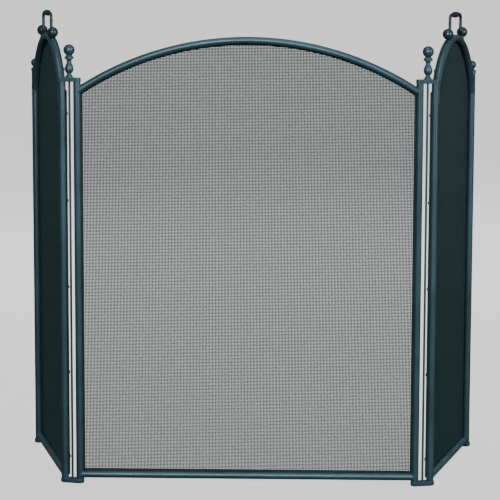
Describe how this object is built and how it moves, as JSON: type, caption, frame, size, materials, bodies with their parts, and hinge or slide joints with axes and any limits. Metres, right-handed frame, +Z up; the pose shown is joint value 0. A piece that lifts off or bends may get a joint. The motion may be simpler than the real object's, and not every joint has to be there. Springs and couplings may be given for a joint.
{
  "type": "fireplace screen",
  "caption": "Three-fold fireplace screen with arched tube frames, woven wire mesh, double-pivot hinges with turned finials, and bail handles on the side panels.",
  "frame": {"origin": "centre of the footprint on the floor, with the side panels folded back to 72.5 degrees", "axes": "+Z up, -Y towards the room in front of the screen, +X to the viewer's right"},
  "size_m": [0.8254, 0.2916, 0.8216],
  "materials": {
    "frame_paint": "satin",
    "mesh_wire": "satin",
    "handle_paint": "satin",
    "fixings": "satin",
    "pivot_steel": "satin"
  },
  "bodies": {
    "centre": {"centre_arch": "frame_paint", "centre_arch_strip": "fixings", "centre_bottom_rail": "frame_paint", "centre_bottom_strip": "fixings", "centre_left_post": "frame_paint", "centre_left_post_strip": "fixings", "centre_mesh": "mesh_wire", "centre_pivots": "pivot_steel", "centre_right_post": "frame_paint", "centre_right_post_strip": "fixings", "centre_screws": "fixings"},
    "left_hinge": {"left_hinge_cap": "frame_paint", "left_hinge_finial": "frame_paint", "left_hinge_foot": "frame_paint", "left_rod_nut": "pivot_steel", "left_tie_rod": "frame_paint"},
    "left_panel": {"left_arch": "frame_paint", "left_arch_strip": "fixings", "left_bottom_rail": "frame_paint", "left_bottom_strip": "fixings", "left_handle_ball_back": "handle_paint", "left_handle_ball_front": "handle_paint", "left_inner_post": "frame_paint", "left_inner_post_strip": "fixings", "left_mesh": "mesh_wire", "left_outer_finial": "frame_paint", "left_outer_foot": "frame_paint", "left_outer_post": "frame_paint", "left_outer_post_strip": "fixings", "left_pivots": "pivot_steel", "left_screws": "fixings"},
    "left_handle": {"left_bail_handle": "handle_paint"},
    "right_hinge": {"right_hinge_cap": "frame_paint", "right_hinge_finial": "frame_paint", "right_hinge_foot": "frame_paint", "right_rod_nut": "pivot_steel", "right_tie_rod": "frame_paint"},
    "right_panel": {"right_arch": "frame_paint", "right_arch_strip": "fixings", "right_bottom_rail": "frame_paint", "right_bottom_strip": "fixings", "right_handle_ball_back": "handle_paint", "right_handle_ball_front": "handle_paint", "right_inner_post": "frame_paint", "right_inner_post_strip": "fixings", "right_mesh": "mesh_wire", "right_outer_finial": "frame_paint", "right_outer_foot": "frame_paint", "right_outer_post": "frame_paint", "right_outer_post_strip": "fixings", "right_pivots": "pivot_steel", "right_screws": "fixings"},
    "right_handle": {"right_bail_handle": "handle_paint"}
  },
  "joints": [
    {"name": "left_centre_pivot", "type": "hinge", "parent": "centre", "child": "left_hinge", "pos_m": [-0.293, -0.13796, 0.355], "axis": [0, 0, -1], "range_deg": [-12, 78]},
    {"name": "left_panel_pivot", "type": "hinge", "parent": "left_hinge", "child": "left_panel", "pos_m": [-0.31941, -0.13234, 0.355], "axis": [0, 0, -1], "range_deg": [-60.5, 29.5]},
    {"name": "left_handle_pivot", "type": "hinge", "parent": "left_panel", "child": "left_handle", "pos_m": [-0.36196, 0.00261, 0.78359], "axis": [0.3007, -0.9537, 0], "range_deg": [-125, 125]},
    {"name": "right_centre_pivot", "type": "hinge", "parent": "centre", "child": "right_hinge", "pos_m": [0.293, -0.13796, 0.355], "axis": [0, 0, 1], "range_deg": [-12, 78]},
    {"name": "right_panel_pivot", "type": "hinge", "parent": "right_hinge", "child": "right_panel", "pos_m": [0.31941, -0.13234, 0.355], "axis": [0, 0, 1], "range_deg": [-60.5, 29.5]},
    {"name": "right_handle_pivot", "type": "hinge", "parent": "right_panel", "child": "right_handle", "pos_m": [0.36196, 0.00261, 0.78359], "axis": [0.3007, 0.9537, 0], "range_deg": [-125, 125]}
  ]
}
